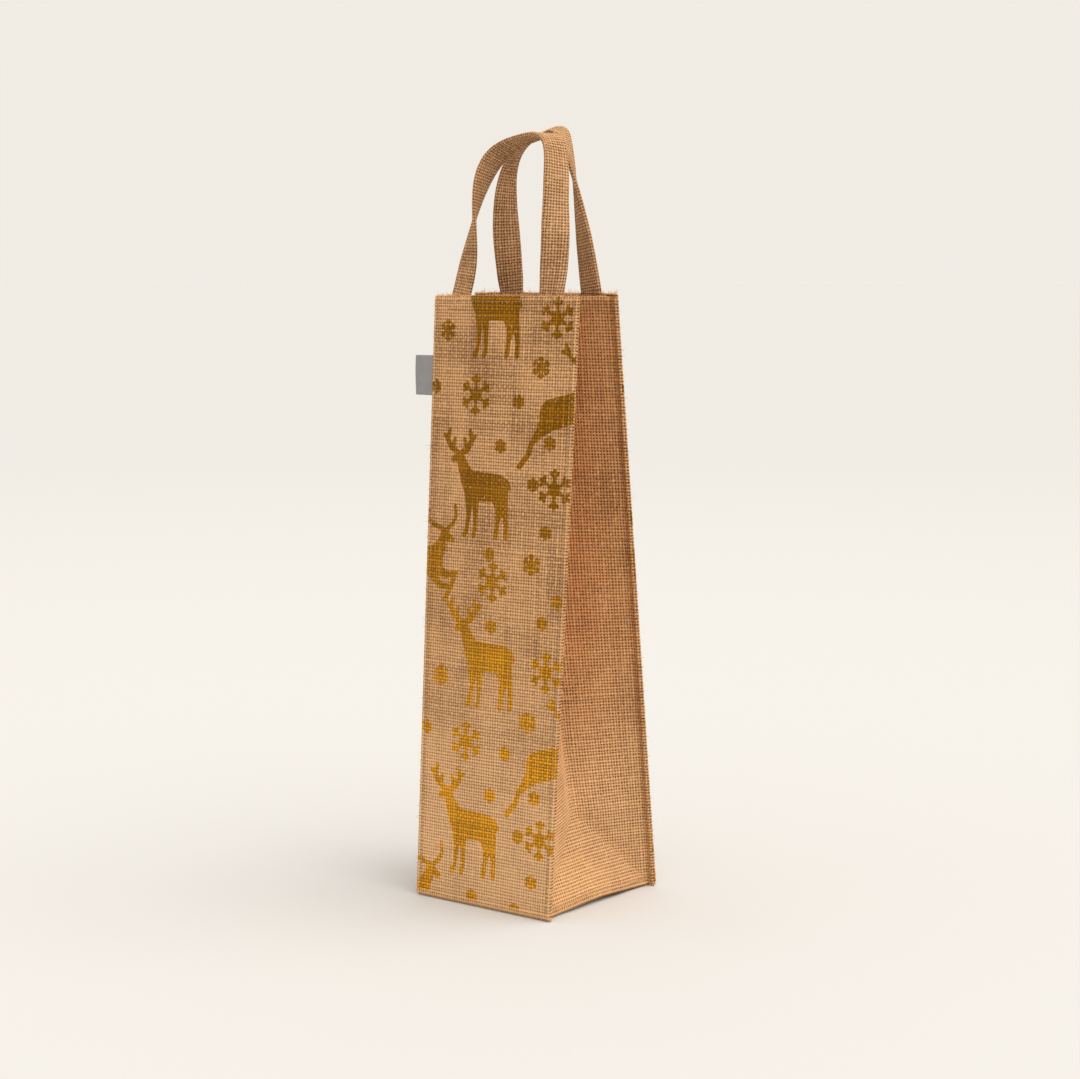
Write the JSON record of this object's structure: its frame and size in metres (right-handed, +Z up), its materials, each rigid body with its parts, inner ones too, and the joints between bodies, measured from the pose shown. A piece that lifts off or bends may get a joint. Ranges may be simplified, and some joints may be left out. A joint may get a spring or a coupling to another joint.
{
  "type": "wine gift bag",
  "caption": "Tall jute bag for one bottle: printed walls drawn together at the mouth, side gussets folded inwards, square base, two strap handles and a side label.",
  "frame": {"origin": "middle of the base's underside, where the bag stands", "axes": "+Z up through the mouth, printed front faces -Y, +X to the right as seen from the front"},
  "size_m": [0.12, 0.1074, 0.4579],
  "materials": {
    "jute_printed": "natural plain-weave jute printed with broken metallic gold motifs",
    "jute_plain": "natural plain-weave jute, matt",
    "jute_strap": "folded plain-weave jute strap, matt",
    "thread": "matt sewing thread",
    "label_satin": "grey satin ribbon, soft sheen, blank"
  },
  "bodies": {
    "base": {"base_panel": "jute_plain", "left_gusset": "jute_plain", "right_gusset": "jute_plain", "left_base_seam_thread": "thread", "right_base_seam_thread": "thread"},
    "front_wall": {"front_panel": "jute_printed", "front_left_seam_thread": "thread", "front_right_seam_thread": "thread", "front_rim_thread": "thread", "front_handle_left_end": "jute_strap", "front_handle_right_end": "jute_strap", "front_handle_left_tack": "thread", "front_handle_right_tack": "thread"},
    "back_wall": {"back_panel": "jute_printed", "back_left_seam_thread": "thread", "back_right_seam_thread": "thread", "back_rim_thread": "thread", "back_handle_left_end": "jute_strap", "back_handle_right_end": "jute_strap", "back_handle_left_tack": "thread", "back_handle_right_tack": "thread"},
    "front_handle": {"front_handle": "jute_strap"},
    "back_handle": {"back_handle": "jute_strap"},
    "label": {"side_label": "label_satin"}
  },
  "joints": [
    {"name": "front_wall_open", "type": "hinge", "parent": "base", "child": "front_wall", "pos_m": [0, -0.0524, 0.0015], "axis": [1, 0, 0], "range_deg": [0, 3.7], "deforming": ["left_gusset", "right_gusset"]},
    {"name": "back_wall_open", "type": "hinge", "parent": "base", "child": "back_wall", "pos_m": [0, 0.0524, 0.0015], "axis": [-1, 0, 0], "range_deg": [0, 7.3], "deforming": ["left_gusset", "right_gusset"]},
    {"name": "front_handle_swing", "type": "hinge", "parent": "front_wall", "child": "front_handle", "pos_m": [0, -0.03297, 0.3575], "axis": [1, 0, 0], "range_deg": [-1, 165]},
    {"name": "back_handle_swing", "type": "hinge", "parent": "back_wall", "child": "back_handle", "pos_m": [0, 0.01525, 0.359], "axis": [-1, 0, 0], "range_deg": [-1, 165]},
    {"name": "label_flip", "type": "hinge", "parent": "front_wall", "child": "label", "pos_m": [-0.05402, -0.03244, 0.2985], "axis": [-0.0081, 0.065, 0.9979], "range_deg": [-80, 80]}
  ]
}
